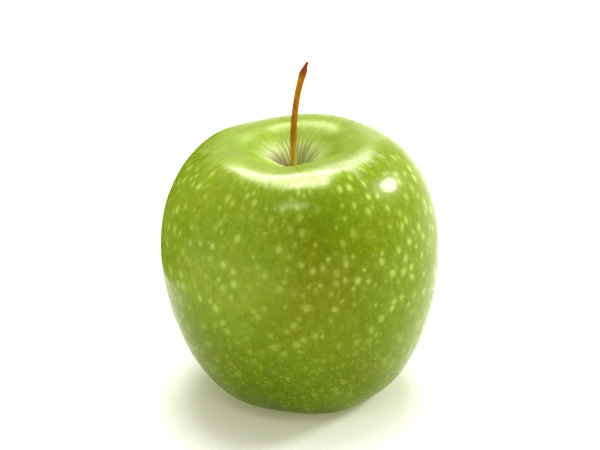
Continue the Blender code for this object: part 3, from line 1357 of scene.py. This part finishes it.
@dataclass(frozen=True)
class Calyx:
    """The dried flower end: five curled sepals round a tuft of stamens and styles."""

    sepals: int = 5
    first_angle: float = math.radians(-72)
    basin_depth: float = 0.0070
    root_radius: float = 0.0038
    waist_radius: float = 0.0031
    tip_radius: float = 0.0068
    waist_drop: float = 0.0024
    tip_drop: float = 0.0044
    half_width: float = 0.0020
    thickness: float = 0.00030
    ragged_share: float = 0.16
    point_share: float = 0.88
    curl_height: float = 0.00055
    rib_height: float = 0.00016
    rib_reach: float = 0.18
    crumple_height: float = 0.00022
    twist_height: float = 0.00035
    columns: int = 8
    rows: int = 18
    stamens: int = 20
    tuft_radius: float = 0.0017
    tuft_drop: float = 0.0036
    filament_radius: float = 0.00013
    filament_turn: float = math.radians(137.5)
    filament_bend: float = 0.0004
    filament_steps: int = 8
    filament_sides: int = 6
    stump_steps: int = 6
    stump_sides: int = 16
    step_ahead: float = 0.02
    leaf: DriedLeaf = DriedLeaf("dried sepal", (0.250, 0.190, 0.105), (0.060, 0.038, 0.018), 2600.0)
    thread: DriedLeaf = DriedLeaf(
        "dried tuft", (0.150, 0.085, 0.040), (0.022, 0.012, 0.007), 5200.0, down_share=0.15
    )

    def sepal_line(self, share: float) -> Vector:
        """A sepal's middle line, in toward the tuft and then out at the tip.

        Args:
            share: From 0 at the root to 1 at the tip.

        Returns:
            The point, for a sepal that grows on the +X side.
        """
        root = self.basin_depth - self.thickness
        curve = (
            Vector((self.root_radius, 0.0, root)),
            Vector((self.waist_radius, 0.0, root - 0.6 * self.waist_drop)),
            Vector((self.waist_radius, 0.0, root - 1.6 * self.waist_drop)),
            Vector((self.tip_radius, 0.0, root - self.tip_drop)),
        )
        return bezier(curve, share)

    def sepal_point(self, across: float, share: float, number: int) -> Vector:
        """Places a point of one sepal.

        Args:
            across: From -1 at one edge to 1 at the other.
            share: From 0 at the root to 1 at the tip.
            number: Which sepal, because each dried differently.

        Returns:
            The point, for a sepal that grows on the +X side.
        """
        middle = self.sepal_line(share)
        ahead = self.sepal_line(min(1.0, share + self.step_ahead))
        ahead -= self.sepal_line(max(0.0, share - self.step_ahead))
        out = Vector((-ahead.z, 0.0, ahead.x)).normalized()
        ragged = 1.0 + self.ragged_share * noise.noise(Vector((share * 7.0, across * 2.0, number * 3.7)))
        width = self.half_width * (1.0 - self.point_share * share**1.6) * ragged
        curl = self.curl_height * across**2 * (0.4 + share)
        rib = self.rib_height * bell(across, 0.0, self.rib_reach) * (1.0 - share)
        crumple = self.crumple_height * noise.noise(Vector((share * 5.0, across * 1.8, number * 5.1 + 2.0)))
        twist = self.twist_height * math.sin(3.0 * share + number) * across
        return middle + Vector((0.0, width * across, 0.0)) - out * (curl - rib + crumple + twist)

    def build_sepal(self, number: int, material: bpy.types.Material) -> bpy.types.Object:
        """Builds, dresses and places one sepal.

        Args:
            number: Which sepal, from 0.
            material: What the leaf is made of.

        Returns:
            The sepal.
        """
        bm = bmesh.new()
        growth = bm.verts.layers.float_vector.new(GROWTH)
        along = bm.verts.layers.float.new(ALONG)
        bmesh.ops.create_grid(bm, x_segments=self.columns, y_segments=self.rows, size=1.0)
        turn = Matrix.Rotation(self.first_angle + math.tau * number / self.sepals, 3, "Z")
        for vert in bm.verts:
            across = vert.co.x
            share = 0.5 + 0.5 * vert.co.y
            vert[growth] = (across * self.half_width, 0.0, share * self.tip_drop)
            vert[along] = share
            vert.co = turn @ self.sepal_point(across, share, number)
        bmesh.ops.recalc_face_normals(bm, faces=bm.faces)
        bmesh.ops.solidify(bm, geom=bm.faces, thickness=self.thickness)
        node = f"sepal_{number + 1}"
        fit_into(bm, node)
        piece = finish_piece(f"apple_{node}", bm, material)
        mount_piece(piece, node)
        return piece

    def filament(self, bm: BMesh, number: int) -> None:
        """Adds one dried stamen to the tuft, with a small head at its end.

        Args:
            bm: The tuft.
            number: Which stamen, from 0.
        """
        angle = number * self.filament_turn
        spread = math.sqrt((number + 0.5) / self.stamens)
        lean = Vector((math.cos(angle), math.sin(angle), 0.0))
        bend = Vector((-lean.y, lean.x, 0.0)) * self.filament_bend * math.sin(2.3 * number)
        length = self.tuft_drop * (0.72 + 0.28 * math.sin(1.7 * number + 1.0) ** 2)
        root = lean * self.tuft_radius * 0.62 * spread + Vector((0.0, 0.0, self.basin_depth))
        tip = lean * self.tuft_radius * spread + bend + Vector((0.0, 0.0, self.basin_depth - length))
        middle = (root + tip) / 2 + bend + lean * 0.0002
        places = []
        for step in range(self.filament_steps + 1):
            share = step / self.filament_steps
            spot = root * (1 - share) ** 2 + middle * (2 * share * (1 - share)) + tip * share**2
            ahead = (middle - root) * (1 - share) + (tip - middle) * share
            head = 1.0 + 1.3 * bell(share, 0.93, 0.07) - 0.3 * share
            radius = self.filament_radius * head
            places.append(ring_place(spot, ahead, lean, radius, radius * 0.8))
        loft(bm, places, self.filament_sides, self.filament_radius, length)

    def stump(self, bm: BMesh) -> None:
        """Adds the stump that the dried stamens grow from.

        Args:
            bm: The tuft.
        """
        places = []
        down = Vector((0.0, 0.0, -1.0))
        for step in range(self.stump_steps + 1):
            share = step / self.stump_steps
            radius = self.tuft_radius * (0.78 - 0.70 * share**1.3)
            centre = Vector((0.0, 0.0, self.basin_depth - 0.55 * self.tuft_drop * share))
            places.append(ring_place(centre, down, Vector((1.0, 0.0, 0.0)), radius, radius))
        loft(bm, places, self.stump_sides, self.tuft_radius, self.tuft_drop)

    def build_tuft(self) -> bpy.types.Object:
        """Builds, dresses and places the tuft of stamens.

        Returns:
            The tuft.
        """
        bm = bmesh.new()
        self.stump(bm)
        for number in range(self.stamens):
            self.filament(bm, number)
        fit_into(bm, "calyx_tuft")
        piece = finish_piece("apple_calyx_tuft", bm, self.thread.material())
        mount_piece(piece, "calyx_tuft")
        return piece

    def build(self) -> list[bpy.types.Object]:
        """Builds the sepals and the tuft."""
        material = self.leaf.material()
        return [self.build_sepal(number, material) for number in range(self.sepals)] + [self.build_tuft()]


# ---------------------------------------------------------------- the studio


@dataclass(frozen=True)
class Diffuser:
    """A far, glowing rectangle of the room, as a large overhead diffuser looks from the table."""

    toward: Direction
    half_width: float
    half_height: float
    brightness: float
    roll: float = 0.0
    edge: float = 0.06

    def glow(self, sketch: Sketch, direction: Source) -> bpy.types.NodeSocket:
        """Draws the rectangle into the room.

        Args:
            sketch: The world.
            direction: Where a ray goes.

        Returns:
            The light that comes from that direction.
        """
        centre = Vector(self.toward).normalized()
        right = centre.cross(Vector((0.0, 0.0, 1.0))).normalized()
        right = Matrix.Rotation(self.roll, 3, centre) @ right
        across = sketch.maths("ABSOLUTE", sketch.facing(direction, tuple(right)))
        upward = sketch.maths("ABSOLUTE", sketch.facing(direction, tuple(right.cross(centre))))
        wide = sketch.remap(across, self.half_width - self.edge, self.half_width + self.edge, 1.0, 0.0)
        high = sketch.remap(upward, self.half_height - self.edge, self.half_height + self.edge, 1.0, 0.0)
        ahead = sketch.maths("GREATER_THAN", sketch.facing(direction, tuple(centre)), 0.0)
        return sketch.times(wide, high, ahead, self.brightness)


@dataclass(frozen=True)
class RoundLamp:
    """A round studio lamp, far enough away to light the whole table alike."""

    name: str
    toward: Direction
    angle: float
    brightness: float

    def build(self) -> bpy.types.Object:
        """Hangs the lamp and aims it.

        Returns:
            The lamp.
        """
        lamp = bpy.data.lights.new(self.name, "SUN")
        lamp.angle = self.angle
        lamp.energy = self.brightness * math.pi * math.sin(self.angle / 2) ** 2
        obj = bpy.data.objects.new(self.name, lamp)
        direction = Vector(self.toward).normalized()
        turn = direction.to_track_quat("Z", "Y").to_matrix().to_4x4()
        obj.matrix_world = Matrix.Translation(direction) @ turn
        bpy.context.scene.collection.objects.link(obj)
        return obj


@dataclass(frozen=True)
class Flag:
    """A matt green card beside the table, which only the skin's gloss sees."""

    centre: Direction = (-0.072, 0.050, 0.064)
    width: float = 0.150
    height: float = 0.134
    colour: Colour = (0.260, 0.360, 0.060)
    paler: Colour = (0.400, 0.500, 0.120)
    paler_share: float = 0.3
    roughness: float = 0.9
    ior: float = 1.2

    def build(self) -> bpy.types.Object:
        """Stands the card up, facing the fruit.

        Returns:
            The card, which is not part of the object.
        """
        bm = bmesh.new()
        bmesh.ops.create_grid(bm, x_segments=1, y_segments=1, size=0.5)
        middle = Vector(self.centre)
        outward = Vector((middle.x, middle.y, 0.0)).normalized()
        across = Vector((-outward.y, outward.x, 0.0))
        bmesh.ops.scale(bm, vec=(self.width, self.height, 1.0), verts=bm.verts)
        for vert in bm.verts:
            vert.co = middle + across * vert.co.x + Vector((0.0, 0.0, vert.co.y))
        material, sketch = new_material("green card")
        grain = sketch.remap(sketch.noise(sketch.place(Place.OBJECT), 40.0, 3.0), 0.3, 0.7)
        tone = sketch.blend(sketch.times(grain, self.paler_share), self.colour, self.paler)
        sketch.surface({"Base Color": tone, "Roughness": self.roughness, "IOR": self.ior})
        card = finish_piece("green_card", bm, material, smoothing=0)
        card.visible_camera = False
        card.visible_diffuse = False
        card.visible_shadow = False
        card.visible_transmission = False
        return card


@dataclass(frozen=True)
class Studio:
    """A white table that glows a little, soft light and the camera."""

    floor_radius: float = 12.0
    floor_colour: Colour = (0.80, 0.80, 0.80)
    floor_glow: Colour = (0.170, 0.163, 0.104)
    floor_roughness: Span = (0.3, 0.7, 0.72, 0.80)
    floor_ior: float = 1.30
    bright_side: Direction = (0.50, 0.86, 0.0)
    bright_light: float = 0.70
    dim_light: float = 0.38
    wall_fade: Span = (-0.45, 0.75)
    top_light: float = 0.32
    top_fade: Span = (0.25, 0.85)
    seen_light: float = 1.3
    gloss_gain: float = 3.6
    camera_distance: float = 0.675
    camera_elevation: float = math.radians(25)
    lens: float = 150.0
    sensor_width: float = 36.0
    nearest_seen: float = 0.01
    look: str = "High Contrast"
    diffusers: tuple[Diffuser, ...] = (
        Diffuser((-0.02, 0.45, 0.89), 0.25, 0.37, 4.0),
        Diffuser((0.02, 0.14, 0.985), 0.23, 0.16, 3.6),
        Diffuser((-0.12, -0.48, 0.86), 0.18, 0.08, 3.2, edge=0.04),
    )
    lamps: tuple[RoundLamp, ...] = (RoundLamp("key lamp", (0.80, 0.35, 0.48), math.radians(13), 34.0),)

    def build_floor(self) -> bpy.types.Object:
        """Lays the round white table top.

        Returns:
            The table top, which is not part of the object.
        """
        bm = bmesh.new()
        bmesh.ops.create_circle(bm, cap_ends=True, segments=64, radius=self.floor_radius)
        mesh = bpy.data.meshes.new("floor")
        bm.to_mesh(mesh)
        bm.free()
        material, sketch = new_material("white table")
        paper = sketch.remap(sketch.noise(sketch.place(Place.OBJECT), 900.0), *self.floor_roughness)
        sketch.surface(
            {
                "Base Color": opaque(self.floor_colour),
                "Roughness": paper,
                "IOR": self.floor_ior,
                "Emission Color": opaque(self.floor_glow),
                "Emission Strength": 1.0,
            }
        )
        mesh.materials.append(material)
        floor = bpy.data.objects.new("floor", mesh)
        bpy.context.scene.collection.objects.link(floor)
        return floor

    def build_world(self) -> None:
        """Lights the room: bright above and behind, dim in front."""
        world = bpy.data.worlds.new("studio")
        world.use_nodes = True
        sketch = Sketch(world.node_tree)
        direction = sketch.add("ShaderNodeTexCoord").outputs["Generated"]
        side = sketch.facing(direction, self.bright_side)
        wall = sketch.remap(side, *self.wall_fade, self.dim_light, self.bright_light)
        upward = sketch.remap(sketch.facing(direction, (0.0, 0.0, 1.0)), *self.top_fade)
        light = sketch.plus(wall, sketch.maths("SUBTRACT", self.top_light, wall), upward)
        path = sketch.add("ShaderNodeLightPath")
        sheen = sketch.plus(1.0, path.outputs["Is Glossy Ray"], self.gloss_gain - 1.0)
        for diffuser in self.diffusers:
            light = sketch.plus(light, diffuser.glow(sketch, direction), sheen)
        more = sketch.maths("SUBTRACT", self.seen_light, light)
        shown = sketch.plus(light, more, path.outputs["Is Camera Ray"])
        glow = sketch.add("ShaderNodeBackground", {"Color": (1.0, 1.0, 1.0, 1.0), "Strength": shown})
        sketch.add("ShaderNodeOutputWorld", {"Surface": glow.outputs["Background"]})
        bpy.context.scene.world = world

    def build_camera(self) -> bpy.types.Object:
        """Sets the camera in front of the fruit, looking a little down.

        Returns:
            The camera.
        """
        low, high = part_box("fruit")
        fruit_middle = (low + high) / 2
        elevation = self.camera_elevation
        away = Vector((0.0, -math.cos(elevation), math.sin(elevation)))
        eye = fruit_middle + away * self.camera_distance
        aim = (cad_box[0] + cad_box[1]) / 2
        lens = bpy.data.cameras.new("camera")
        lens.lens = self.lens
        lens.sensor_width = self.sensor_width
        lens.clip_start = self.nearest_seen
        camera = bpy.data.objects.new("camera", lens)
        turn = (aim - eye).to_track_quat("-Z", "Y").to_matrix().to_4x4()
        camera.matrix_world = Matrix.Translation(eye) @ turn
        bpy.context.scene.collection.objects.link(camera)
        bpy.context.scene.camera = camera
        return camera

    def build(self) -> None:
        """Builds the room, its lights and its camera."""
        self.build_floor()
        self.build_world()
        for lamp in self.lamps:
            lamp.build()
        Flag().build()
        self.build_camera()
        bpy.context.scene.view_settings.view_transform = "Standard"
        bpy.context.scene.view_settings.look = self.look
        LOG.info("studio: floor, room, %d lamps and a camera", len(self.lamps))


# ---------------------------------------------------------------- the whole


def main() -> None:
    """Builds the apple, piece by piece, and the studio round it."""
    logging.basicConfig(level=logging.INFO, format="%(name)s: %(message)s", stream=sys.stdout)
    Fruit().build()
    Stem().build()
    Calyx().build()
    Studio().build()


if __name__ == "__main__":
    main()
